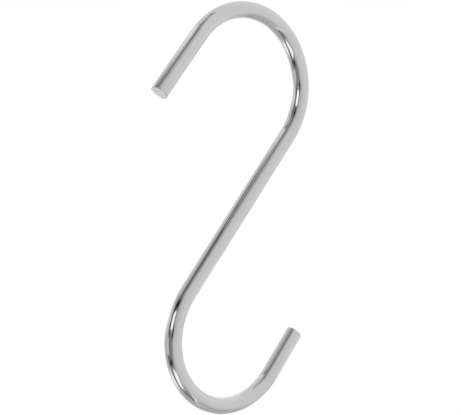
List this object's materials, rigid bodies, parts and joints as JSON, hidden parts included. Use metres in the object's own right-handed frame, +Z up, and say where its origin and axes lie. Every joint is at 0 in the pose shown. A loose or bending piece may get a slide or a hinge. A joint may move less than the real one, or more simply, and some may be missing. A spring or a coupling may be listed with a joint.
{
  "type": "s hook",
  "caption": "S-shaped hanging hook of round chromed steel wire: a straight shank with an open bend at each end and sheared, deburred tips.",
  "frame": {"origin": "the rail's seat: the highest point inside the upper bend", "axes": "+Z up as the hook hangs under load, with the load's seat straight below the origin; the wire lies in the XZ plane, the upper tip towards -X and the lower tip towards +X; +Y normal to the hook's plane"},
  "size_m": [0.0587, 0.005, 0.1182],
  "materials": {
    "wire": "bright chrome plate over drawn steel wire, with fine lengthwise draw lines and sheared ends"
  },
  "bodies": {
    "root": {"hook": "wire"}
  },
  "joints": []
}
